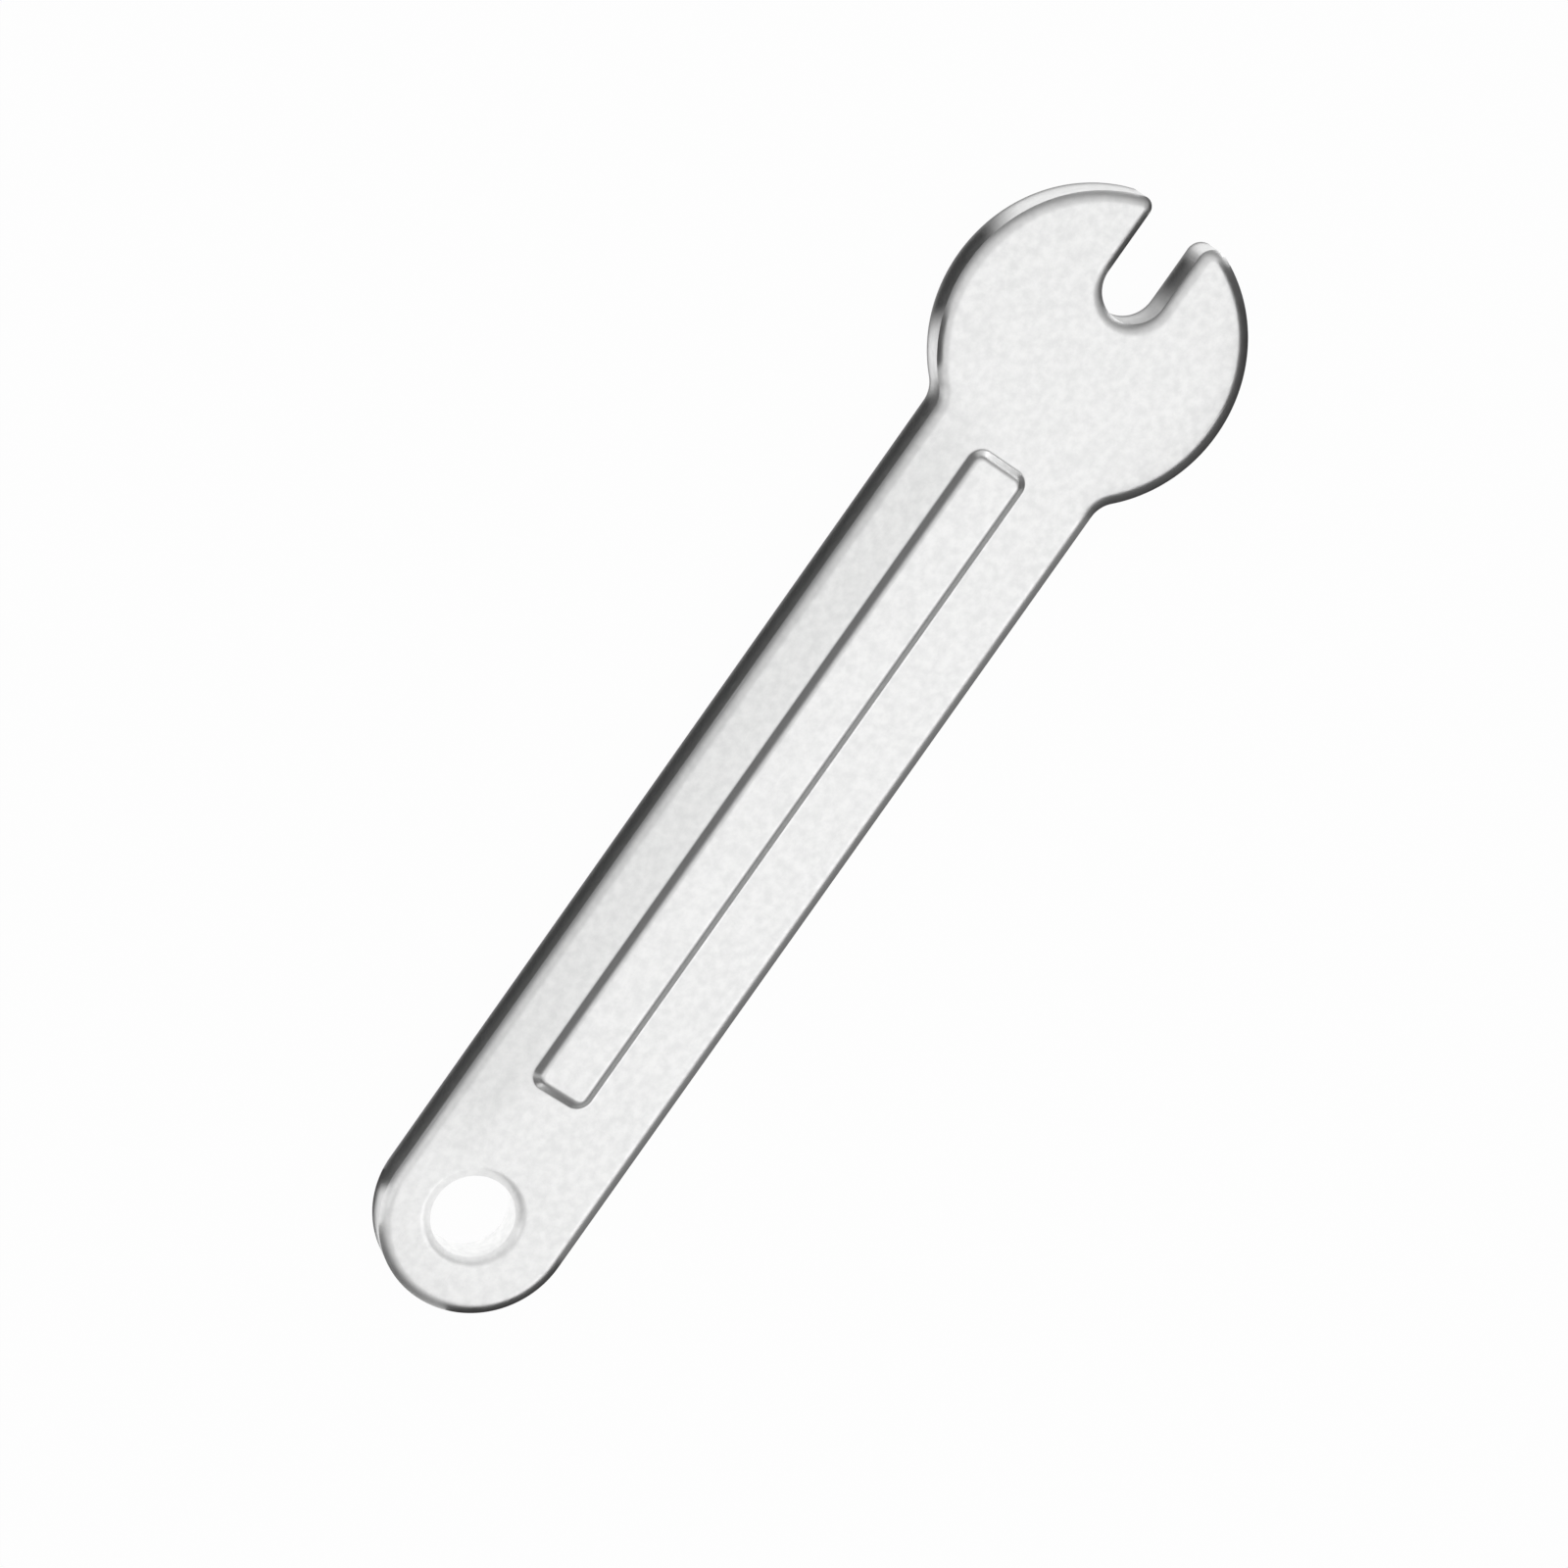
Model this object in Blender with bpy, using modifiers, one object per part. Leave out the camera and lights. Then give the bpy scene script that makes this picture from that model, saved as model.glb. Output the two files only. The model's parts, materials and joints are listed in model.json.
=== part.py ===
# Flat open-end wrench, blanked and pressed from one steel plate.
# It lies on its back: +X runs along the handle to the jaws, +Y is the left jaw seen from the front,
# and +Z is the front face with the raised rib. The origin is the middle of the underside.

import math

import bmesh
import bpy
from mathutils import Vector

# Driving sizes of the plate, in metres
NUT_ACROSS_FLATS = 0.0055      # nut that the jaws take
JAW_CLEARANCE = 0.00005        # how much wider the slot is than the nut
PLATE_THICKNESS = 0.0037
HEAD_DIAMETER = 0.0256
SLOT_FLOOR = 0.0030            # lowest point of the slot, from the head's centre towards the mouth
LEFT_TIP_RADIUS = 0.0009       # corner of the left jaw, almost sharp
RIGHT_TIP_RADIUS = 0.0013      # corner of the right jaw, rounder
SHOULDER_FILLET = 0.0025       # inner corner where the head runs into the handle
HANDLE_WIDTH = 0.0162
HANDLE_REACH = 0.0857          # from the head's centre to the centre of the round tail and its hole
HANG_HOLE_DIAMETER = 0.0070
HOLE_SIDE_SHIFT = 0.0005       # off the handle's centre line, to the left
ROLL_WIDTH = 0.00105           # rounding that blanking leaves on the front edges, seen from the front
ROLL_DEPTH = 0.0004            # and how far it comes down the walls
HOLE_ROLL_WIDTH = 0.00095      # the same rounding at the punched hole
BACK_BREAK = 0.00012           # deburred back edges

# Driving sizes of the pressed rib, and of the recess that the punch leaves behind it
RIB_WIDTH = 0.0056             # at the front face
RIB_LENGTH = 0.0627
RIB_FROM_HEAD = 0.0112         # from the head's centre to the rib's near end
RIB_SIDE_SHIFT = 0.00075       # off the handle's centre line, to the left
RIB_HEIGHT = 0.0006
RIB_WALL_RUN = 0.0010          # width of the sloping wall, seen from the front
RIB_FOOT = 0.2                 # share of that width that curves up out of the face; the rest rounds over
RIB_CORNER_RADIUS = 0.0014
PUNCH_CLEARANCE = 0.0004       # the punch is this much smaller than the rib all round
RECESS_DEPTH = 0.0005

# How finely round stretches are divided
ARC_ERROR = 0.00001            # most that a chord may stand off its arc
ROLL_STEPS = 4
WALL_STEPS = 5
TURN_STEPS = 48
LEAST_STEPS = 4                # of any arc
TIP_SHARE = 0.93               # of a tip's radius: further in, its rounding is drawn as a point
TIP_REACH = 2                  # points within so many of the radii that are left belong to the rounding
WELD = 0.000001
FLAT_ANGLE = math.radians(1)   # faces closer than this to one plane are one face
EDGE_ANGLE = math.radians(30)  # edges sharper than this are shaded as edges

# A cutting or pressing form starts this far outside the face that it goes through, so that no faces coincide
FORM_SEAT = 0.00002
FORM_ROOT = 0.0008

HEAD_RADIUS = HEAD_DIAMETER / 2
HANDLE_HALF = HANDLE_WIDTH / 2
SLOT_HALF = (NUT_ACROSS_FLATS + JAW_CLEARANCE) / 2
SLOT_CENTRE = SLOT_FLOOR + SLOT_HALF
HOLE_RADIUS = HANG_HOLE_DIAMETER / 2
RIB_CENTRE = -RIB_FROM_HEAD - RIB_LENGTH / 2
JAW_TIPS = ((LEFT_TIP_RADIUS, 1), (RIGHT_TIP_RADIUS, -1))      # rounding and side of each jaw's corner

QUARTER = math.pi / 2
HALF_TURN = math.pi

STEEL_COLOUR = (0.80, 0.80, 0.79, 1.0)
STEEL_ROUGHNESS = 0.32


def arc(centre, radius, start, end):
    """Points on an arc from one angle to another, both ends included."""
    step = 2 * math.acos(1 - ARC_ERROR / radius)
    steps = max(LEAST_STEPS, math.ceil(abs(end - start) / step))
    points = []
    for i in range(steps + 1):
        angle = start + (end - start) * i / steps
        points.append((centre[0] + radius * math.cos(angle), centre[1] + radius * math.sin(angle)))
    return points


def without_repeats(points):
    """Drops a point that falls on the one before it, where two arcs meet."""
    return [p for i, p in enumerate(points) if math.dist(p, points[i - 1]) > WELD]


def tip_centre(radius, side):
    """Centre of a jaw tip's rounding, inside the head's circle and tangent to the slot's wall."""
    across = SLOT_HALF + radius
    return math.sqrt((HEAD_RADIUS - radius) ** 2 - across**2), side * across


def wrench_outline():
    """Counter-clockwise outline of the plate around the head's centre, from the left jaw's tip."""
    left_tip, right_tip = [tip_centre(radius, side) for radius, side in JAW_TIPS]
    left_angle = math.atan2(left_tip[1], left_tip[0])
    right_angle = math.atan2(right_tip[1], right_tip[0])

    fillet_y = HANDLE_HALF + SHOULDER_FILLET
    fillet_x = -math.sqrt((HEAD_RADIUS + SHOULDER_FILLET) ** 2 - fillet_y**2)
    shoulder = math.atan2(fillet_y, fillet_x)

    points = arc(left_tip, LEFT_TIP_RADIUS, -QUARTER, left_angle)
    points += arc((0, 0), HEAD_RADIUS, left_angle, QUARTER)
    points += arc((0, 0), HEAD_RADIUS, QUARTER, shoulder)
    points += arc((fillet_x, fillet_y), SHOULDER_FILLET, shoulder + HALF_TURN, 3 * QUARTER)
    points += arc((-HANDLE_REACH, 0), HANDLE_HALF, QUARTER, HALF_TURN)
    points += arc((-HANDLE_REACH, 0), HANDLE_HALF, HALF_TURN, 3 * QUARTER)
    points += arc((fillet_x, -fillet_y), SHOULDER_FILLET, QUARTER, HALF_TURN - shoulder)
    points += arc((0, 0), HEAD_RADIUS, -shoulder, -QUARTER)
    points += arc((0, 0), HEAD_RADIUS, -QUARTER, right_angle)
    points += arc(right_tip, RIGHT_TIP_RADIUS, right_angle, QUARTER)
    points += arc((SLOT_CENTRE, 0), SLOT_HALF, 3 * QUARTER, HALF_TURN)
    points += arc((SLOT_CENTRE, 0), SLOT_HALF, HALF_TURN, QUARTER)
    return without_repeats(points)


def rounded_bar(length, width, radius):
    """Outline of a straight bar with rounded corners, where the rib lies on the handle."""
    radius = min(radius, width / 2)
    half_length = length / 2 - radius
    half_width = width / 2 - radius
    points = []
    for corner, (x, y) in enumerate(((1, 1), (-1, 1), (-1, -1), (1, -1))):
        centre = (RIB_CENTRE + x * half_length, RIB_SIDE_SHIFT + y * half_width)
        points += arc(centre, radius, corner * QUARTER, (corner + 1) * QUARTER)
    return without_repeats(points)


def flat_solid(name, outline, low, high):
    """Straight-walled solid between two heights, filled from a flat outline."""
    curve = bpy.data.curves.new(name, "CURVE")
    curve.dimensions = "2D"
    curve.fill_mode = "BOTH"
    curve.extrude = (high - low) / 2
    spline = curve.splines.new("POLY")
    spline.points.add(len(outline) - 1)
    for point, (x, y) in zip(spline.points, outline):
        point.co = (x, y, 0, 1)
    spline.use_cyclic_u = True
    blank = bpy.data.objects.new(name, curve)
    bpy.context.scene.collection.objects.link(blank)
    depsgraph = bpy.context.evaluated_depsgraph_get()
    mesh = bpy.data.meshes.new_from_object(blank.evaluated_get(depsgraph))
    mesh.name = name
    bpy.data.objects.remove(blank)

    bm = bmesh.new()
    bm.from_mesh(mesh)
    bmesh.ops.remove_doubles(bm, verts=bm.verts, dist=WELD)
    bmesh.ops.dissolve_limit(bm, angle_limit=FLAT_ANGLE, verts=bm.verts, edges=bm.edges)
    bmesh.ops.translate(bm, verts=bm.verts, vec=(0, 0, (low + high) / 2))
    bmesh.ops.recalc_face_normals(bm, faces=bm.faces)
    bm.to_mesh(mesh)
    bm.free()
    return bpy.data.objects.new(name, mesh)


def draw_out(solid, side, profile, tips=()):
    """Draws a solid's flat end out along a profile of (inset, rise) points, on its top (1) or underside (-1).

    A jaw tip in tips becomes a point where the profile has used up its rounding.
    """
    bm = bmesh.new()
    bm.from_mesh(solid.data)
    inset = rise = 0.0
    for next_inset, next_rise in profile:
        end = max(bm.faces, key=lambda face: side * face.calc_center_median().z)
        bmesh.ops.inset_individual(
            bm, faces=[end], thickness=next_inset - inset, depth=next_rise - rise, use_even_offset=True
        )
        inset, rise = next_inset, next_rise
        for radius, jaw in tips:
            if math.isclose(inset, TIP_SHARE * radius):
                centre = tip_centre(radius, jaw)
                reach = TIP_REACH * (radius - inset)
                rounding = [v for v in end.verts if math.dist(v.co.xy, centre) < reach]
                corner = Vector((*tip_centre(inset, jaw), rounding[0].co.z))
                bmesh.ops.pointmerge(bm, verts=rounding, merge_co=corner)
    bm.to_mesh(solid.data)
    bm.free()


def roll_profile(width, stops=()):
    """Quarter ellipse from a wall over to the front face, with a point at each stop on its width."""
    insets = [width * (1 - math.cos(QUARTER * (i + 1) / ROLL_STEPS)) for i in range(ROLL_STEPS)]
    insets += [stop for stop in stops if stop < width]
    return [(inset, ROLL_DEPTH * math.sqrt(1 - (1 - inset / width) ** 2)) for inset in sorted(insets)]


def pressed_profile(run, rise):
    """Slope from a flat face up to a flat crown, with a tight foot and a wide, round shoulder."""
    points = []
    for i in range(WALL_STEPS):
        share = (i + 1) / WALL_STEPS
        foot = share**2 / RIB_FOOT
        shoulder = 1 - (1 - share) ** 2 / (1 - RIB_FOOT)
        points.append((run * share, rise * (foot if share < RIB_FOOT else shoulder)))
    return points


def plate_blank():
    """The blanked plate: rolled over at the front edges, deburred at the back."""
    plate = flat_solid("wrench_body", wrench_outline(), BACK_BREAK, PLATE_THICKNESS - ROLL_DEPTH)
    used_up = [TIP_SHARE * radius for radius, jaw in JAW_TIPS]
    draw_out(plate, 1, roll_profile(ROLL_WIDTH, used_up), JAW_TIPS)
    draw_out(plate, -1, [(BACK_BREAK, BACK_BREAK)])
    return plate


def pressed_form(name, inset, face, rise):
    """Straight root behind a face and a sloping-walled crown beyond it, inset from the rib's outline."""
    outline = rounded_bar(RIB_LENGTH - 2 * inset, RIB_WIDTH - 2 * inset, RIB_CORNER_RADIUS)
    form = flat_solid(name, outline, face - FORM_ROOT, face - FORM_SEAT)
    draw_out(form, 1, pressed_profile(RIB_WALL_RUN, rise + FORM_SEAT))
    return form


def hole_punch():
    """Turned punch for the hang hole, flared to the roll at its front rim and the break at its back."""
    wall_top = PLATE_THICKNESS + FORM_SEAT - ROLL_DEPTH
    roll = roll_profile(HOLE_ROLL_WIDTH)
    flare = [(HOLE_RADIUS + inset, wall_top + rise) for inset, rise in reversed(roll)]
    root = PLATE_THICKNESS + FORM_ROOT
    profile = [(0, root), (HOLE_RADIUS + HOLE_ROLL_WIDTH, root)] + flare
    profile += [(HOLE_RADIUS, wall_top), (HOLE_RADIUS, BACK_BREAK)]
    profile += [(HOLE_RADIUS + BACK_BREAK + FORM_SEAT, -FORM_SEAT)]
    profile += [(HOLE_RADIUS + BACK_BREAK + FORM_SEAT, -FORM_ROOT), (0, -FORM_ROOT)]

    mesh = bpy.data.meshes.new("hole_punch")
    edges = [(i, i + 1) for i in range(len(profile) - 1)]
    mesh.from_pydata([(x, 0, z) for x, z in profile], edges, [])
    punch = bpy.data.objects.new("hole_punch", mesh)
    screw = punch.modifiers.new("Turn", "SCREW")
    screw.steps = TURN_STEPS
    screw.render_steps = TURN_STEPS
    screw.use_merge_vertices = True
    screw.merge_threshold = WELD
    return punch


def combine(target, tool, operation):
    boolean = target.modifiers.new(tool.name, "BOOLEAN")
    boolean.operation = operation
    boolean.solver = "EXACT"
    boolean.object = tool


def plated_steel():
    material = bpy.data.materials.new("plated_steel")
    material.use_nodes = True
    shader = material.node_tree.nodes["Principled BSDF"]
    shader.inputs["Base Color"].default_value = STEEL_COLOUR
    shader.inputs["Metallic"].default_value = 1.0
    shader.inputs["Roughness"].default_value = STEEL_ROUGHNESS
    return material


def collection(name):
    made = bpy.data.collections.new(name)
    bpy.context.scene.collection.children.link(made)
    return made


for old in list(bpy.data.objects):
    bpy.data.objects.remove(old)

parts = collection("open_end_wrench")
cutters = collection("press_tools")

# Head centre, placed so that the overall length is centred on the origin
outline_x = [x for x, y in wrench_outline()]
head_x = -(min(outline_x) + max(outline_x)) / 2

body = plate_blank()
body.location.x = head_x
body.data.materials.append(plated_steel())
body.data.shade_smooth()
body.data.set_sharp_from_angle(angle=EDGE_ANGLE)
parts.objects.link(body)

rib = pressed_form("rib_form", 0, PLATE_THICKNESS, RIB_HEIGHT)
rib.location.x = head_x
recess = pressed_form("recess_form", PUNCH_CLEARANCE, 0, RECESS_DEPTH)
recess.location.x = head_x
hole = hole_punch()
hole.location = (head_x - HANDLE_REACH, HOLE_SIDE_SHIFT, 0)

for tool in (rib, recess, hole):
    tool.hide_render = True
    tool.display_type = "WIRE"
    cutters.objects.link(tool)
combine(body, rib, "UNION")
combine(body, recess, "DIFFERENCE")
combine(body, hole, "DIFFERENCE")
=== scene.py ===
import json
import math

import bmesh
import bpy
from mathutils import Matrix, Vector

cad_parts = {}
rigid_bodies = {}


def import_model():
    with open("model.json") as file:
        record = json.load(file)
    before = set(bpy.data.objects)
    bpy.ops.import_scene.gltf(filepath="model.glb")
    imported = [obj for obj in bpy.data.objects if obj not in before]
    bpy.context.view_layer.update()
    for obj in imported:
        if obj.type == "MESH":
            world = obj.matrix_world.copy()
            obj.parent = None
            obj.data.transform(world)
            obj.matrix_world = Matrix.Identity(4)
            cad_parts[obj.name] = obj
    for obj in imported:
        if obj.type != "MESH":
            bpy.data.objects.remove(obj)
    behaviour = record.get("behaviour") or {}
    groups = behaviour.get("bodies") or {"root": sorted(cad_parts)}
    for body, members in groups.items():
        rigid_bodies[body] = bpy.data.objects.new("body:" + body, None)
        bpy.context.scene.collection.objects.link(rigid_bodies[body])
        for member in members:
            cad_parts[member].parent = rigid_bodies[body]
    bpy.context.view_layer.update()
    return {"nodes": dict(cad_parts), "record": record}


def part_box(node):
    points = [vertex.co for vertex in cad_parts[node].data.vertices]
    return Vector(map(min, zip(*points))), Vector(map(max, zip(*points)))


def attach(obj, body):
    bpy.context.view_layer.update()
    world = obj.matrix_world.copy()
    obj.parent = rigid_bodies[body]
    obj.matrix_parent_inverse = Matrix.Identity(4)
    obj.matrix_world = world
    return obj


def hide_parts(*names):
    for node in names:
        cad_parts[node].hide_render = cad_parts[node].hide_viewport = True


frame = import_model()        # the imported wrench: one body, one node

print("frame loaded:", sorted(frame["nodes"]))


# Small helpers for drawing and picking in edit mode

drawing = {
    "seedSize": 0.001,           # throwaway plane that a drawing starts from
    "weld": 0.000003,            # points closer than this become one
    "level": 0.000002,           # heights closer than this count as one
    "stepSlack": 0.001,          # share of a step by which an arc's last step may be too long
}


def pick(kind, test):    # selects the "verts", "edges" or "faces" that pass a test
    bpy.context.tool_settings.mesh_select_mode = [kind == name for name in ("verts", "edges", "faces")]
    bpy.ops.mesh.select_all(action="DESELECT")
    mesh = bpy.context.edit_object.data
    bm = bmesh.from_edit_mesh(mesh)
    for element in getattr(bm, kind):
        element.select_set(test(element))
    bm.select_flush_mode()
    bmesh.update_edit_mesh(mesh)


def newPiece(name):      # an empty mesh, open in edit mode
    bpy.ops.object.select_all(action="DESELECT")
    bpy.ops.mesh.primitive_plane_add(size=drawing["seedSize"])
    piece = bpy.context.object
    piece.name = name
    piece.data.name = name
    bpy.ops.object.mode_set(mode="EDIT")
    bpy.ops.mesh.delete(type="VERT")
    return piece


def penAt(x, y, z):      # one loose vertex, the start of a drawn line
    bpy.context.tool_settings.mesh_select_mode = (True, False, False)
    bpy.ops.mesh.primitive_plane_add(size=drawing["seedSize"])
    bpy.ops.mesh.merge(type="COLLAPSE")
    bpy.ops.transform.translate(value=(x, y, z))


def pull(x, y, z):       # extrudes what is picked
    bpy.ops.mesh.extrude_region_move(TRANSFORM_OT_translate={"value": (x, y, z)})


def penLine(dx, dy, pitch):
    steps = max(1, math.ceil(math.hypot(dx, dy) / pitch))
    for _ in range(steps):
        pull(dx / steps, dy / steps, 0)


def penArc(centre, radius, start, end, pitch):       # degrees, counter-clockwise when end > start
    length = radius * math.radians(abs(end - start))
    steps = max(1, math.ceil(length / pitch - drawing["stepSlack"]))
    place = (centre[0], centre[1], 0)
    bpy.ops.mesh.spin(steps=steps, angle=math.radians(start - end), center=place, axis=(0, 0, 1))


def faceLooksUp():
    bm = bmesh.from_edit_mesh(bpy.context.edit_object.data)
    bm.normal_update()
    return next(face for face in bm.faces if face.select).normal.z > 0


def closeLine():         # the drawn line becomes one face that looks up
    bpy.ops.mesh.select_linked()
    bpy.ops.mesh.remove_doubles(threshold=drawing["weld"])
    bpy.ops.mesh.edge_face_add()
    if not faceLooksUp():
        bpy.ops.mesh.flip_normals()


def insetAlong(profile, start=(0, 0)):       # the picked face goes in and up along (inset, rise) points
    bpy.context.tool_settings.mesh_select_mode = (False, False, True)
    upward = 1 if faceLooksUp() else -1
    inset, rise = start
    for nextInset, nextRise in profile:
        step = nextInset - inset
        lift = (nextRise - rise) * upward
        bpy.ops.mesh.inset(thickness=step, depth=lift, use_even_offset=True, use_individual=True)
        inset, rise = nextInset, nextRise


def pickOpenLoops(z):    # the open edges at one height
    def isOpenHere(edge):
        return len(edge.link_faces) == 1 and all(abs(v.co.z - z) < drawing["level"] for v in edge.verts)

    pick("edges", isOpenHere)


# The wrench: one plate, drawn as an outline and pressed

wrench = {
    "handleWidth": 0.0162,
    "leftTip": 0.0009,           # rounding of the two jaw corners
    "rightTip": 0.0013,
    "shoulder": 0.0025,          # inner corner between head and handle
    "slotFloor": 0.0030,         # from the head's centre
    "holeWidth": 0.0070,
    "holeShift": 0.0005,         # off the centre line, to the left
    "rollWidth": 0.00105,        # rolled-over front edges
    "holeRollWidth": 0.00095,
    "rollDepth": 0.00040,
    "rollSteps": 16,
    "backBreak": 0.00012,        # deburred back edges
    "ribWidth": 0.0057,
    "ribLength": 0.0627,
    "ribFromHead": 0.0112,
    "ribShift": 0.00085,
    "ribRun": 0.00100,           # width of its sloping wall
    "ribCorner": 0.0014,
    "ribFoot": 0.12,             # shares of the wall that curve out of the face and over the crown
    "ribCrown": 0.5,
    "ribSteps": 15,
    "punchInset": 0.0004,        # the punch mark on the back is smaller than the rib
    "punchDepth": 0.0005,
    "holdLoop": 0.00015,         # flat ring that keeps the faces flat beside round edges
    "arcPitch": 0.00022,
    "linePitch": 0.0010,
    "tipReach": 1.3,             # how far round the used-up corner its points are gathered
    "tipChord": 0.0007,          # plain stretch beside it, which the corner moves over
    "plateCorners": 50,          # the plate's front and back have more corners than this
    "smoothAngle": 32,           # degrees
}

plan = {}                # main sizes worked out from the frame


def measureWrench():
    w = wrench
    mounts = {m["name"]: m["pos_m"] for m in frame["record"]["mounts"]}
    low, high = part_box("wrench_body")
    frontZ = mounts["front_face"][2]
    slotHalf = mounts["left_jaw_flat"][1]
    headRadius = (high.y - low.y) / 2
    handleHalf = w["handleWidth"] / 2

    def tip(radius):     # centre of a jaw corner's rounding, from the head's centre
        across = slotHalf + radius
        along = math.sqrt((headRadius - radius) ** 2 - across ** 2)
        return along, across, math.degrees(math.atan2(across, along))

    leftX, leftY, leftTurn = tip(w["leftTip"])
    rightX, rightY, rightTurn = tip(w["rightTip"])
    headX = high.x - leftX - w["leftTip"]
    tailX = low.x + handleHalf
    filletY = handleHalf + w["shoulder"]
    filletX = headX - math.sqrt((headRadius + w["shoulder"]) ** 2 - filletY ** 2)
    plan.update(
        frontZ=frontZ, topZ=high.z, wallTop=frontZ - w["rollDepth"],
        headRadius=headRadius, handleHalf=handleHalf, slotHalf=slotHalf,
        head=(headX, 0), tail=(tailX, 0), hole=(tailX, w["holeShift"]),
        slot=(headX + w["slotFloor"] + slotHalf, 0),
        left=(headX + leftX, leftY), leftTurn=leftTurn,
        right=(headX + rightX, -rightY), rightTurn=rightTurn,
        fillet=(filletX, filletY), neck=math.degrees(math.atan2(filletY, filletX - headX)),
    )


def drawOutline(z, grow=0):      # the plate's outline as one face, from the slot's floor by the left jaw
    w, p = wrench, plan
    pitch, linePitch = w["arcPitch"], w["linePitch"]
    slot, head, tail = p["slot"], p["head"], p["tail"]
    headRadius = p["headRadius"] + grow
    handleHalf = p["handleHalf"] + grow
    slotHalf = p["slotHalf"] - grow
    shoulder = w["shoulder"] - grow
    neck, leftTurn, rightTurn = p["neck"], p["leftTurn"], p["rightTurn"]
    filletX, filletY = p["fillet"]
    plainTurn = leftTurn + math.degrees(w["tipChord"] / headRadius)
    penAt(slot[0] - slotHalf, 0, z)
    penArc(slot, slotHalf, 180, 90, pitch)
    penLine(p["left"][0] - slot[0], 0, linePitch)
    penArc(p["left"], w["leftTip"] + grow, -90, leftTurn, pitch / 2)
    penArc(head, headRadius, leftTurn, plainTurn, w["tipChord"])
    penArc(head, headRadius, plainTurn, 90, pitch)
    penArc(head, headRadius, 90, neck, pitch)
    penArc((filletX, filletY), shoulder, neck + 180, 270, pitch)
    penLine(tail[0] - filletX, 0, linePitch)
    penArc(tail, handleHalf, 90, 180, pitch)
    penArc(tail, handleHalf, 180, 270, pitch)
    penLine(filletX - tail[0], 0, linePitch)
    penArc((filletX, -filletY), shoulder, 90, 180 - neck, pitch)
    penArc(head, headRadius, -neck, -90, pitch)
    penArc(head, headRadius, -90, -rightTurn, pitch)
    penArc(p["right"], w["rightTip"] + grow, -rightTurn, 90, pitch / 2)
    penLine(slot[0] - p["right"][0], 0, linePitch)
    penArc(slot, slotHalf, 270, 180, pitch)
    closeLine()


def rollCurve():         # (across, up) shares of a rolled edge: a parabola, level at the face
    turns = [math.pi / 2 * (i + 1) / wrench["rollSteps"] for i in range(wrench["rollSteps"])]
    return [(1 - math.cos(turn), math.sin(turn) ** 2) for turn in turns]


def pickPlate(isHere):   # the plate's front or back, by its height
    def isPlate(face):
        return len(face.verts) > wrench["plateCorners"] and isHere(face.calc_center_median().z)

    pick("faces", isPlate)


def raisePlate():
    w = wrench
    wallTop = plan["wallTop"]
    drawOutline(w["backBreak"])
    print("outline drawn")
    pull(0, 0, wallTop - w["backBreak"])

    # the rolled front edge and a flat ring inside it
    roll = [(w["rollWidth"] * across, w["rollDepth"] * up) for across, up in rollCurve()]
    roll.append((w["rollWidth"] + w["holdLoop"], w["rollDepth"]))
    outer = [point for point in roll if point[0] < w["leftTip"]]
    insetAlong(outer)
    corner = Vector(plan["left"])        # the small jaw corner is used up first: it becomes a point
    near = (w["leftTip"] - outer[-1][0]) * w["tipReach"]
    pick("verts", lambda v: v.co.z > wallTop and (v.co.xy - corner).length < near)
    bpy.ops.mesh.merge(type="CENTER")
    pickPlate(lambda z: z > wallTop)
    insetAlong(roll[len(outer):], outer[-1])
    bpy.ops.mesh.delete(type="ONLY_FACE")

    # the deburred back edge
    pickPlate(lambda z: z < wallTop / 2)
    insetAlong([(w["backBreak"], -w["backBreak"]), (w["backBreak"] + w["holdLoop"], -w["backBreak"])])
    bpy.ops.mesh.delete(type="ONLY_FACE")
    print("plate walls and rolled edges made")


def ribRise(share):      # height across the rib's wall: a tight foot, a straight slope and a round crown
    foot, crown = wrench["ribFoot"], wrench["ribCrown"]
    slope = 1 / (1 - (foot + crown) / 2)
    if share < foot:
        return slope * share ** 2 / foot / 2
    if share > 1 - crown:
        return 1 - slope * (1 - share) ** 2 / crown / 2
    return slope * (share - foot / 2)


def pressBar(inset, z, rise):        # a round-cornered bar with sloping walls, smaller by the inset
    w = wrench
    pitch, linePitch, hold = w["arcPitch"], w["linePitch"], w["holdLoop"]
    radius = w["ribCorner"] + hold
    headX = plan["head"][0]
    nearX = headX - w["ribFromHead"] - inset + hold
    farX = headX - w["ribFromHead"] - w["ribLength"] + inset - hold
    topY = w["ribShift"] + w["ribWidth"] / 2 - inset + hold
    lowY = w["ribShift"] - w["ribWidth"] / 2 + inset - hold
    penAt(nearX, lowY + radius, z)
    penLine(0, topY - lowY - 2 * radius, linePitch)
    penArc((nearX - radius, topY - radius), radius, 0, 90, pitch)
    penLine(farX - nearX + 2 * radius, 0, linePitch)
    penArc((farX + radius, topY - radius), radius, 90, 180, pitch)
    penLine(0, lowY - topY + 2 * radius, linePitch)
    penArc((farX + radius, lowY + radius), radius, 180, 270, pitch)
    penLine(nearX - farX - 2 * radius, 0, linePitch)
    penArc((nearX - radius, lowY + radius), radius, 270, 360, pitch)
    closeLine()
    shares = [(i + 1) / w["ribSteps"] for i in range(w["ribSteps"])]
    wall = [(hold + w["ribRun"] * share, rise * ribRise(share)) for share in shares]
    insetAlong([(hold, 0)] + wall + [(2 * hold + w["ribRun"], rise)])


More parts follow.
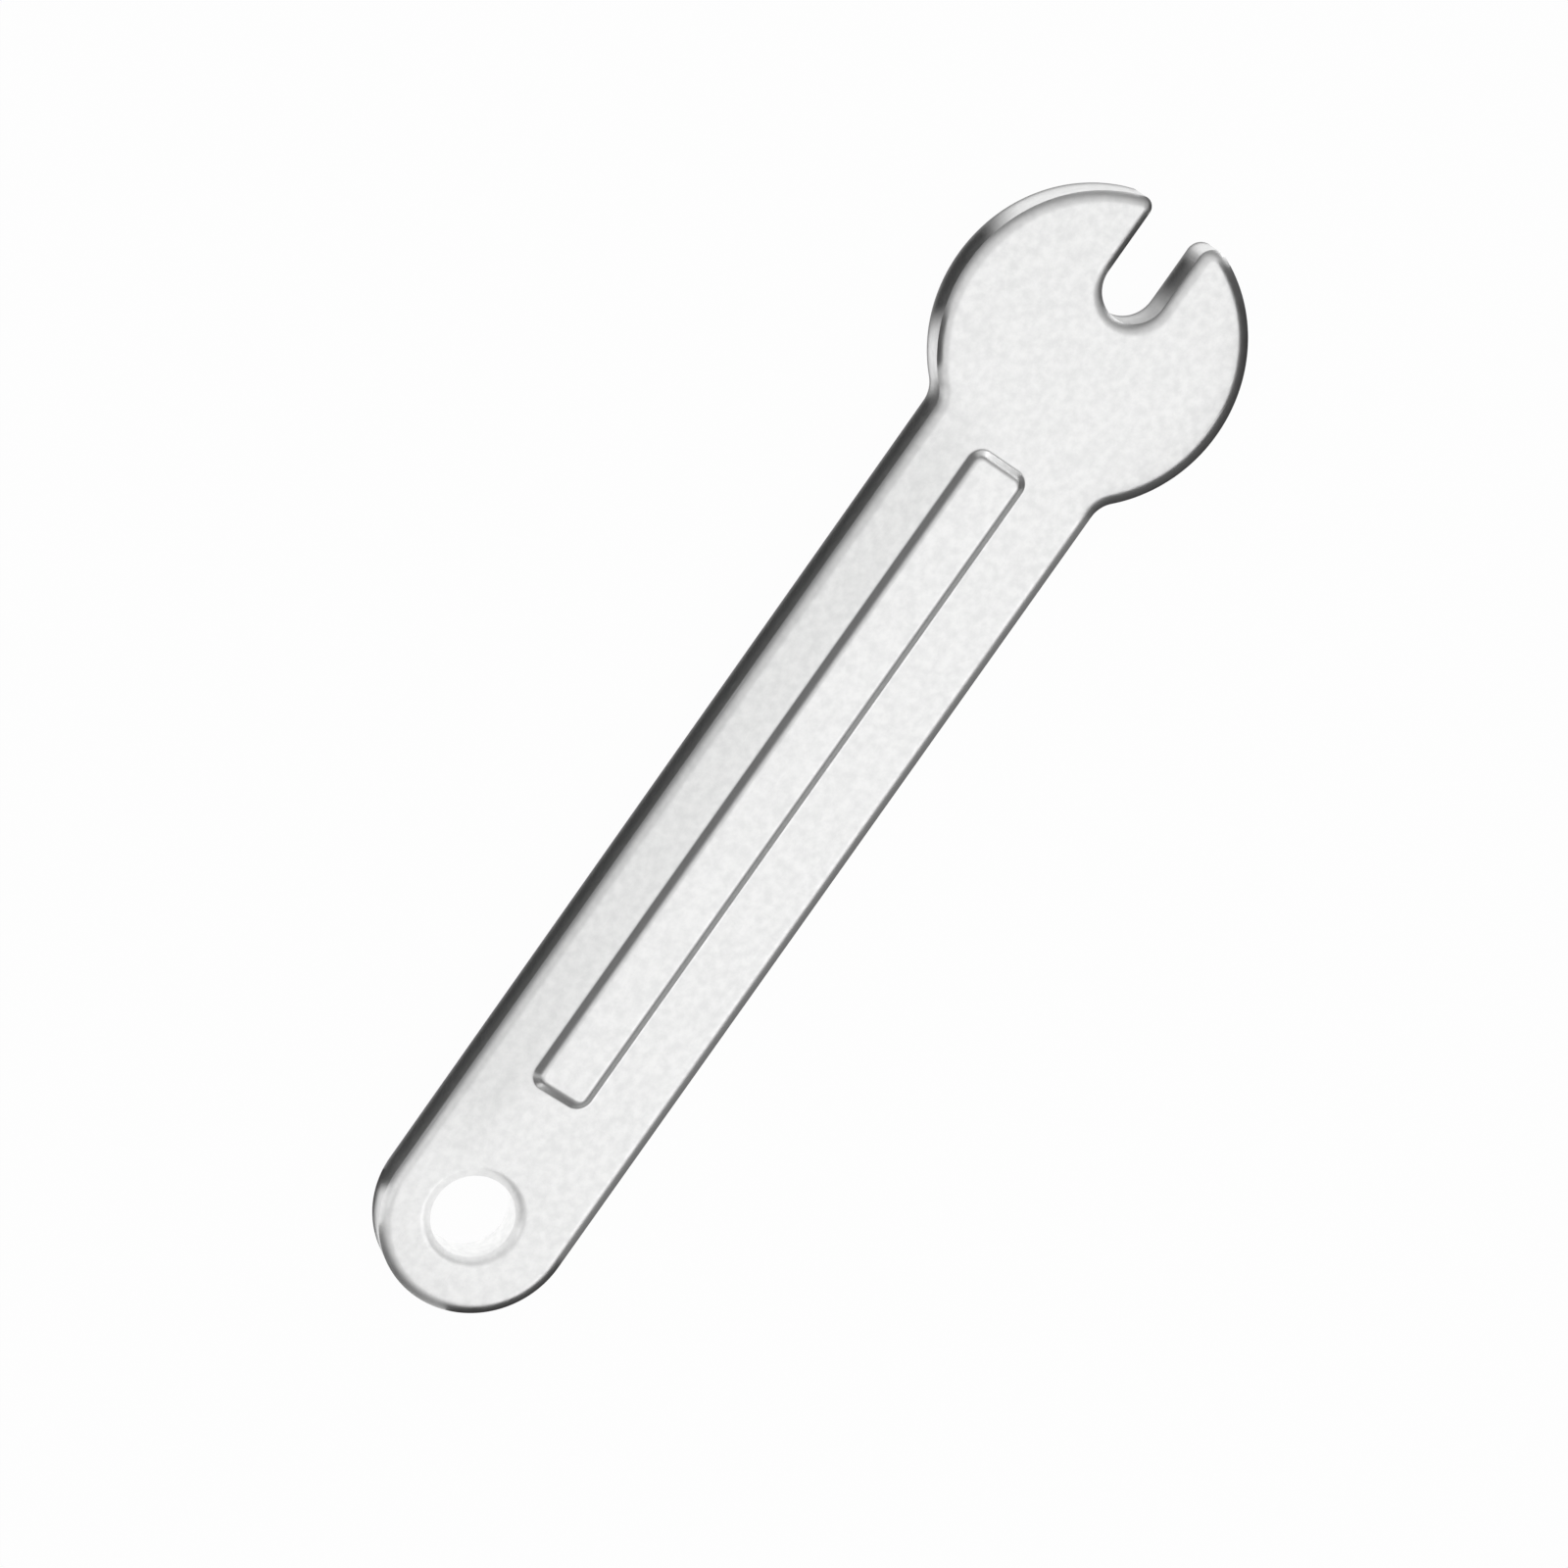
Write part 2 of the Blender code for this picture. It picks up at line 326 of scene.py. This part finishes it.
def turnHole():          # the hang hole's wall: its profile turned about the hole's axis
    w = wrench
    x, y = plan["hole"]
    radius = w["holeWidth"] / 2
    penAt(x + radius + w["backBreak"] + w["holdLoop"], y, 0)
    pull(-w["holdLoop"], 0, 0)
    pull(-w["backBreak"], 0, w["backBreak"])
    pull(0, 0, plan["wallTop"] - w["backBreak"])
    flare = [(0, 0)] + rollCurve()
    for (acrossA, upA), (acrossB, upB) in zip(flare, flare[1:]):
        pull((acrossB - acrossA) * w["holeRollWidth"], 0, (upB - upA) * w["rollDepth"])
    pull(w["holdLoop"], 0, 0)
    bpy.ops.mesh.select_linked()
    around = math.ceil(2 * math.pi * radius / w["arcPitch"])
    bpy.ops.mesh.spin(steps=around, angle=2 * math.pi, center=(x, y, 0), axis=(0, 0, 1))


def fillPlate():         # the flat faces between the loops
    bpy.ops.mesh.select_all(action="SELECT")
    bpy.ops.mesh.remove_doubles(threshold=drawing["weld"])
    for z in (plan["frontZ"], 0):
        pickOpenLoops(z)
        bpy.ops.mesh.fill(use_beauty=True)
    bpy.ops.mesh.select_all(action="SELECT")
    bpy.ops.mesh.normals_make_consistent(inside=False)


def buildWrench():
    piece = newPiece("wrench")
    raisePlate()
    pressBar(0, plan["frontZ"], plan["topZ"] - plan["frontZ"])       # the rib, then the punch mark behind it
    pressBar(wrench["punchInset"], 0, wrench["punchDepth"])
    print("rib and punch mark pressed")
    turnHole()
    fillPlate()
    bpy.ops.object.mode_set(mode="OBJECT")
    bpy.ops.object.shade_smooth_by_angle(angle=math.radians(wrench["smoothAngle"]))
    print("wrench faces:", len(piece.data.polygons))
    return piece


measureWrench()
wrenchPiece = buildWrench()
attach(wrenchPiece, "root")
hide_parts("wrench_body")


# Small helpers for shader nodes

def addNode(tree, kind, **values):       # a value is a setting of the node or the start value of a socket
    node = tree.nodes.new(kind)
    for name, value in values.items():
        if hasattr(node, name):
            setattr(node, name, value)
        else:
            node.inputs[name.replace("_", " ")].default_value = value
    return node


def feed(tree, socket, value):       # links another socket, or sets a plain value
    if isinstance(value, bpy.types.NodeSocket):
        tree.links.new(value, socket)
    else:
        socket.default_value = value


def maths(tree, operation, *values):
    node = addNode(tree, "ShaderNodeMath", operation=operation)
    for socket, value in zip(node.inputs, values):
        feed(tree, socket, value)
    return node.outputs["Value"]


def spread(tree, value, low, high, toLow, toHigh, curve="LINEAR"):       # remaps a value between two ends
    node = addNode(tree, "ShaderNodeMapRange", interpolation_type=curve)
    for name, end in (("From Min", low), ("From Max", high), ("To Min", toLow), ("To Max", toHigh)):
        feed(tree, node.inputs[name], end)
    tree.links.new(value, node.inputs["Value"])
    return node.outputs["Result"]


def fade(tree, value, low, high, toLow, toHigh):         # the same with soft ends
    return spread(tree, value, low, high, toLow, toHigh, "SMOOTHSTEP")


def splitAxes(tree, vector):
    node = tree.nodes.new("ShaderNodeSeparateXYZ")
    tree.links.new(vector, node.inputs["Vector"])
    return node.outputs


def coordinates(tree, kind):
    return tree.nodes.new("ShaderNodeTexCoord").outputs[kind]


def noiseOn(tree, coords, scale, detail, roughness):
    node = addNode(tree, "ShaderNodeTexNoise", Scale=scale, Detail=detail, Roughness=roughness)
    tree.links.new(coords, node.inputs["Vector"])
    return node.outputs["Fac"]


def mixColours(tree, share, first, second, blend="MIX"):
    node = addNode(tree, "ShaderNodeMix", data_type="RGBA", blend_type=blend)
    tree.links.new(share, node.inputs["Factor"])
    for socket, colour in zip(node.inputs[6:8], (first, second)):        # its two colour sockets
        feed(tree, socket, colour)
    return node.outputs[2]


def newMaterial(name):
    material = bpy.data.materials.new(name)
    material.use_nodes = True
    material.node_tree.nodes.clear()
    return material


def endWith(tree, shader):       # the shader's output becomes the surface
    output = tree.nodes.new("ShaderNodeOutputMaterial")
    tree.links.new(shader, output.inputs["Surface"])


# Satin plated steel: mottled plating, fine grain, tumbling scratches, sheared walls, and painted shade on
# the strip left of the rib

steel = {
    "darkTone": (0.822, 0.824, 0.822, 1),
    "lightTone": (0.892, 0.892, 0.888, 1),
    "mottle": (1300, 4, 0.62),       # noise scale per metre, detail and roughness: blotches of about 0.8 mm
    "mottleSpan": (0.36, 0.64),      # noise between the dark and the light tone
    # tone multiplied in as painted shade, which stands in for less light on the strip left of the rib
    "dullTone": (0.906, 0.908, 0.906, 1),
    "dullSide": (0.0024, 0.0048),    # painted shade on the strip left of the rib: where it sets in, and its two ends
    "dullTail": (-0.0440, -0.0340),
    "dullHead": (0.0250, 0.0340),
    "rough": (0.35, 0.28),           # of the dark and the light blotches
    "roughSpan": (0.3, 0.7),
    "wallRough": 0.04,               # added on the walls
    "wallTilt": (0.15, 0.75),        # upright share of the normal, from wall to face
    "grain": (7000, 3, 0.6),
    "wave": (260, 2, 0.5),
    "streak": (1, 3, 0.65),
    "streakScale": (3200, 3200, 160),        # upright lines
    "scratch": (1, 1, 0.5),
    "scratchLines": ((18, 46), (74, 52), (131, 40)),     # direction in degrees, and scale along the lines
    "scratchScale": (5200, 900),     # across them
    "scratchSpan": (0.70, 0.78),
    "grainHeight": 0.0000022,        # heights in metres
    "waveHeight": 0.000012,
    "shearHeight": 0.000016,
    "scratchHeight": 0.0000025,
}


def platedSteel():
    s = steel
    material = newMaterial("platedSteel")
    tree = material.node_tree
    place = coordinates(tree, "Object")

    def turned(angle, scale):
        node = addNode(tree, "ShaderNodeMapping", Rotation=(0, 0, math.radians(angle)), Scale=scale)
        tree.links.new(place, node.inputs["Vector"])
        return node.outputs["Vector"]

    # colour: blotches, and painted shade that darkens the strip left of the rib
    mottle = noiseOn(tree, place, *s["mottle"])
    tone = mixColours(tree, spread(tree, mottle, *s["mottleSpan"], 0, 1), s["darkTone"], s["lightTone"])
    axes = splitAxes(tree, place)
    paintedShade = fade(tree, axes["Y"], *s["dullSide"], 0, 1)
    paintedShade = maths(tree, "MULTIPLY", fade(tree, axes["X"], *s["dullTail"], 0, 1), paintedShade)
    paintedShade = maths(tree, "MULTIPLY", fade(tree, axes["X"], *s["dullHead"], 1, 0), paintedShade)
    tone = mixColours(tree, paintedShade, tone, s["dullTone"], "MULTIPLY")

    # walls: upright streaks left by the shearing die
    level = maths(tree, "ABSOLUTE", splitAxes(tree, coordinates(tree, "Normal"))["Z"])
    wall = spread(tree, level, *s["wallTilt"], 1, 0)
    sheared = maths(tree, "MULTIPLY", noiseOn(tree, turned(0, s["streakScale"]), *s["streak"]), wall)

    # tumbling scratches: thin lines in three directions
    scratches = 0
    for angle, along in s["scratchLines"]:
        line = noiseOn(tree, turned(angle, (along, *s["scratchScale"])), *s["scratch"])
        scratches = maths(tree, "ADD", spread(tree, line, *s["scratchSpan"], 0, 1), scratches)

    height = maths(tree, "MULTIPLY", noiseOn(tree, place, *s["grain"]), s["grainHeight"])
    wave = noiseOn(tree, place, *s["wave"])
    for relief, depth in ((wave, "waveHeight"), (sheared, "shearHeight")):
        height = maths(tree, "ADD", maths(tree, "MULTIPLY", relief, s[depth]), height)
    height = maths(tree, "SUBTRACT", height, maths(tree, "MULTIPLY", scratches, s["scratchHeight"]))
    bump = addNode(tree, "ShaderNodeBump", Strength=1.0, Distance=1.0)
    tree.links.new(height, bump.inputs["Height"])

    rough = spread(tree, mottle, *s["roughSpan"], *s["rough"])
    rough = maths(tree, "ADD", maths(tree, "MULTIPLY", wall, s["wallRough"]), rough)

    shader = addNode(tree, "ShaderNodeBsdfPrincipled", Metallic=1.0)
    tree.links.new(tone, shader.inputs["Base Color"])
    tree.links.new(rough, shader.inputs["Roughness"])
    tree.links.new(bump.outputs["Normal"], shader.inputs["Normal"])
    endWith(tree, shader.outputs["BSDF"])
    return material


wrenchPiece.data.materials.clear()
wrenchPiece.data.materials.append(platedSteel())
print("steel finished")


# Pale floor, white to the camera, with the wrench's shadow kept

floor = {
    "radius": 4.0,
    "sides": 96,
    "colour": (0.90, 0.90, 0.90, 1),
    "cameraGlow": 0.97,          # share of plain white that each kind of ray sees
    "glossyGlow": 0.97,
    "throughGlow": 0.80,
}


def layFloor():
    bpy.ops.object.select_all(action="DESELECT")
    bpy.ops.mesh.primitive_circle_add(vertices=floor["sides"], radius=floor["radius"], fill_type="NGON")
    ground = bpy.context.object
    ground.name = "floor"
    material = newMaterial("paleFloor")
    tree = material.node_tree
    rays = tree.nodes.new("ShaderNodeLightPath").outputs
    glow = 0
    for ray, share in (("Camera", "cameraGlow"), ("Glossy", "glossyGlow"), ("Transmission", "throughGlow")):
        glow = maths(tree, "ADD", maths(tree, "MULTIPLY", rays[f"Is {ray} Ray"], floor[share]), glow)
    matt = addNode(tree, "ShaderNodeBsdfDiffuse", Color=floor["colour"])
    white = addNode(tree, "ShaderNodeEmission", Color=(1, 1, 1, 1), Strength=1.0)
    both = tree.nodes.new("ShaderNodeMixShader")
    for socket, source in zip(both.inputs, (glow, matt.outputs["BSDF"], white.outputs["Emission"])):
        tree.links.new(source, socket)
    endWith(tree, both.outputs["Shader"])
    ground.data.materials.append(material)


layFloor()
print("floor laid")


# Light tent, paler overhead than at the floor, with soft boxes

softBoxes = {            # compass turn from +X, height angle (degrees), distance, width, height, brightness
    "overBox": (266, 71, 0.90, 0.60, 0.52, 0.29),
    "headBox": (22, 9, 0.80, 1.00, 0.34, 1.10),
    "endBox": (-22, 10, 0.80, 0.44, 0.30, 1.60),
    "tailBox": (140, 36, 0.80, 0.24, 0.84, 0.50),
    "sideBox": (256, 44, 0.90, 0.66, 0.46, 0.60),
}
tent = {
    "darkSide": 0.11,            # brightness low on the left side of the wrench
    "paleSide": 0.42,            # and low on its right side
    "paleTurn": -95,             # degrees from +X
    "paleFade": (0.1, 0.8),      # cosines of the angle from there
    "zenith": 0.77,
    "fade": (30, 74),            # height angles between which the cloth gets paler
}


def hangSoftBox(name, turn, lift, distance, width, height, brightness):
    turn = math.radians(turn)
    lift = math.radians(lift)
    way = Vector((math.cos(lift) * math.cos(turn), math.cos(lift) * math.sin(turn), math.sin(lift)))
    bpy.ops.object.light_add(type="AREA", location=way * distance)
    box = bpy.context.object
    box.name = name
    box.rotation_euler = way.to_track_quat("Z", "Y").to_euler()
    box.data.shape = "RECTANGLE"
    box.data.size = width
    box.data.size_y = height
    box.data.energy = math.pi * width * height * brightness


def lightRoom():
    for name, values in softBoxes.items():
        hangSoftBox(name, *values)
    world = bpy.data.worlds.new("tent")
    world.use_nodes = True
    tree = world.node_tree
    cloth = tree.nodes["Background"]
    cloth.inputs["Color"].default_value = (1, 1, 1, 1)
    way = splitAxes(tree, coordinates(tree, "Generated"))
    turn = math.radians(tent["paleTurn"])
    toSide = maths(tree, "MULTIPLY", way["X"], math.cos(turn))
    toSide = maths(tree, "ADD", maths(tree, "MULTIPLY", way["Y"], math.sin(turn)), toSide)
    low = fade(tree, toSide, *tent["paleFade"], tent["darkSide"], tent["paleSide"])
    start, end = [math.sin(math.radians(angle)) for angle in tent["fade"]]
    strength = fade(tree, way["Z"], start, end, low, tent["zenith"])
    tree.links.new(strength, cloth.inputs["Strength"])
    bpy.context.scene.world = world


lightRoom()
print("lights hung")


# Cards that only the metal sees: painted shadows and reflections, which draw its outline

def glowMaterial(name, tone=1):          # plain glow of one strength
    material = newMaterial(name)
    tree = material.node_tree
    glow = addNode(tree, "ShaderNodeEmission", Color=(1, 1, 1, 1), Strength=tone)
    endWith(tree, glow.outputs["Emission"])
    return material


def glowStrength(material):      # its socket, for a glow that varies
    return material.node_tree.nodes["Emission"].inputs["Strength"]


def drawCard(name, start, moves, sweep):         # a line through a few moves, swept straight
    newPiece(name)
    penAt(*start)
    for move in moves:
        pull(*move)
    bpy.ops.mesh.select_all(action="SELECT")
    pull(*sweep)


def turnCard(name, centre, turns, radius, lift, moves, steps):       # (out, up) moves, swept round an axis
    newPiece(name)
    penAt(centre[0] + radius, centre[1], lift)
    for out, up in moves:
        pull(out, 0, up)
    bpy.ops.mesh.select_all(action="SELECT")
    place = (centre[0], centre[1], 0)
    start, end = [math.radians(turn) for turn in turns]
    bpy.ops.transform.rotate(value=-start, orient_axis="Z", center_override=place)
    bpy.ops.mesh.spin(steps=steps, angle=start - end, center=place, axis=(0, 0, 1))


def finishCard(material):
    card = bpy.context.object
    bpy.ops.object.mode_set(mode="OBJECT")
    card.data.materials.append(material)
    for ray in ("camera", "diffuse", "transmission", "volume_scatter", "shadow"):
        setattr(card, "visible_" + ray, False)


# Painted shadows: soft dark patches on the floor beside the walls, seen only in the metal's reflections

shade = {
    "floorLift": 0.00002,
    "under": 0.0010,             # how far a patch goes in under the wrench
    "darkTone": 0.010,
    "contactLift": 0.00004,
    "contactTone": 0.25,         # painted contact shadow: a thin line all round, where the wrench meets the floor
    "contactWidth": 0.00022,
    "handleReach": 0.0105,       # how far a patch fades out from the wall
    "handleSpan": (-0.0036, 0.0014, 0.0014, 0.0014),     # ends past the straight side, and their fades
    "headReach": 0.0140,
    "headSpan": (-0.0078, 0.0069, 0.0034, 0.0046),       # from the head's centre
    "headCard": (0.75, 1.4),     # where its card starts and how far it goes, in head radii
    "slotReach": 0.0068,
    "slotSpan": (-0.0030, 0.0014, 0.0054, 0.0026),       # past the slot's straight side
}


def softPatch(name, ends, span, wallY, outY, reach, roundWall=None):
    before, after, startFade, endFade = span
    fromX = ends[0] + before
    toX = ends[1] + after
    lift, under = shade["floorLift"], shade["under"]
    drawCard(name, (fromX, wallY - under, lift), [(0, outY + under, 0)], (toX - fromX, 0, 0))
    material = glowMaterial(name)
    tree = material.node_tree
    place = coordinates(tree, "Object")
    axes = splitAxes(tree, place)
    if roundWall:        # fades outwards from a centre and radius
        (x, y), radius = roundWall
        away = addNode(tree, "ShaderNodeVectorMath", operation="DISTANCE")
        feed(tree, away.inputs[0], place)
        feed(tree, away.inputs[1], (x, y, lift))
        dark = fade(tree, away.outputs["Value"], radius, radius + reach, 1, 0)
    else:
        dark = fade(tree, axes["Y"], wallY, wallY + reach, 1, 0)
    starts = fade(tree, axes["X"], fromX, fromX + startFade, 0, 1)
    stops = fade(tree, axes["X"], toX - endFade, toX, 1, 0)
    dark = maths(tree, "MULTIPLY", dark, maths(tree, "MULTIPLY", starts, stops))
    tree.links.new(spread(tree, dark, 0, 1, floor["glossyGlow"], shade["darkTone"]), glowStrength(material))
    finishCard(material)


def shadeFloor():
    s, p = shade, plan
    head, headRadius, slotHalf = p["head"], p["headRadius"], p["slotHalf"]
    ends = (p["tail"][0], p["fillet"][0])
    softPatch("handleShade", ends, s["handleSpan"], p["handleHalf"], s["handleReach"], s["handleReach"])
    startY, outY = [headRadius * share for share in s["headCard"]]
    ends = (head[0], head[0])
    softPatch("headShade", ends, s["headSpan"], startY, outY, s["headReach"], (head, headRadius))
    ends = (p["slot"][0], p["right"][0])
    softPatch("slotShade", ends, s["slotSpan"], -slotHalf, 2 * slotHalf, s["slotReach"])

    newPiece("contactShade")
    drawOutline(s["contactLift"], s["contactWidth"])
    insetAlong([(s["contactWidth"], 0)])
    bpy.ops.mesh.delete(type="ONLY_FACE")
    finishCard(glowMaterial("contactShade", s["contactTone"]))


shadeFloor()
print("floor shaded")


# Dark, grey and white screens that stand round the wrench, seen only by the metal: painted dark and pale
# reflections

screens = {
    "gap": 0.0025,               # from the wrench's edge
    "steps": 24,                 # round a turned screen
    "darkTone": 0.03,
    "rightHeight": 0.0064,
    "rightTone": 0.16,
    "slotRise": 0.0022,          # of the card in the jaw slot, above the front face
    "tailLineTurn": (98, 168),   # a wider painted contact shadow at the tail's left side
    "tailLineWidth": 0.00060,
    "tailLineLift": 0.00006,
}
roundScreens = {         # centre, turns about it (degrees), height, tone, whether a flat part lies before it
    "headScreen": ("head", (-137, -27), 0.0092, 0.03, True),     # the head's lower right side
    "tailScreen": ("tail", (200, 270), 0.0062, 0.03, True),
    "neckScreen": ("head", (112, 132), 0.0080, 0.05, False),     # the head's left side, down to the handle
    "tailWhite": ("tail", (104, 130), 0.0060, 0.97, False),
    "tipScreen": ("left", (-85, 5), 0.0046, 0.03, False),        # the left jaw's corner
}
holeCards = {
    "floorTone": 1.12,           # of a ring on the floor in the hang hole, brighter than white: a painted bright reflection in the hole's wall
    "postRadius": 0.0020,        # pale post that stands in the ring, seen only by the metal: a painted pale reflection
    "postHeight": 0.0065,
    "postTones": (0.92, 0.97),   # of its right and left sides
}


def setStraightScreens():
    c, p = screens, plan
    lift = shade["floorLift"]
    tail, slot = p["tail"][0], p["slot"][0]
    moves = [(0, -c["gap"], 0), (0, 0, c["rightHeight"])]
    drawCard("rightScreen", (tail, -p["handleHalf"], lift), moves, (p["fillet"][0] - tail, 0, 0))
    finishCard(glowMaterial("rightScreen", c["rightTone"]))

    moves = [(0, 0, p["frontZ"] + c["slotRise"])]
    drawCard("slotScreen", (slot, 0, lift), moves, (p["left"][0] - slot, 0, 0))
    finishCard(glowMaterial("slotScreen", c["darkTone"]))


def setRoundScreens():
    c, p = screens, plan
    gap, steps = c["gap"], c["steps"]
    edges = {"head": p["headRadius"], "tail": p["handleHalf"], "left": wrench["leftTip"]}
    for name, (centre, turns, height, tone, flat) in roundScreens.items():
        radius = edges[centre] if flat else edges[centre] + gap
        moves = [(gap, 0), (0, height)] if flat else [(0, height)]
        turnCard(name, p[centre], turns, radius, shade["floorLift"], moves, steps)
        finishCard(glowMaterial(name, tone))

    line = [(c["tailLineWidth"], 0)]
    turnCard("tailLine", p["tail"], c["tailLineTurn"], p["handleHalf"], c["tailLineLift"], line, steps)
    finishCard(glowMaterial("tailLine", c["darkTone"]))


def setHoleCards():
    h = holeCards
    centre = plan["hole"]
    radius = h["postRadius"]
    edge = wrench["holeWidth"] / 2
    lift, steps = shade["floorLift"], screens["steps"]
    turnCard("holeFloor", centre, (0, 360), edge, lift, [(radius - edge, 0)], steps)
    finishCard(glowMaterial("holeFloor", h["floorTone"]))

    turnCard("holePost", centre, (0, 360), radius, lift, [(0, h["postHeight"])], steps)
    material = glowMaterial("holePost")
    tree = material.node_tree
    across = splitAxes(tree, coordinates(tree, "Object"))["Y"]
    tone = spread(tree, across, centre[1] - radius, centre[1] + radius, *h["postTones"])
    tree.links.new(tone, glowStrength(material))
    finishCard(material)


setStraightScreens()
setRoundScreens()
setHoleCards()
print("screens set")


# Camera at the photograph's angle

cameraRig = {
    "place": (0.04896, 0.16374, 0.44106),
    "turn": (-16.992, -13.148, -53.860),     # degrees
    "lens": 135,
    "sensor": 36,
    "nearest": 0.01,             # nothing closer is drawn
}


def setCamera():
    bpy.ops.object.camera_add(location=cameraRig["place"])
    camera = bpy.context.object
    camera.name = "photoCamera"
    camera.rotation_euler = [math.radians(a) for a in cameraRig["turn"]]
    camera.data.lens = cameraRig["lens"]
    camera.data.sensor_width = cameraRig["sensor"]
    camera.data.dof.use_dof = False
    camera.data.clip_start = cameraRig["nearest"]
    bpy.context.scene.camera = camera


setCamera()
print("camera set")

bpy.context.scene.view_settings.view_transform = "Standard"
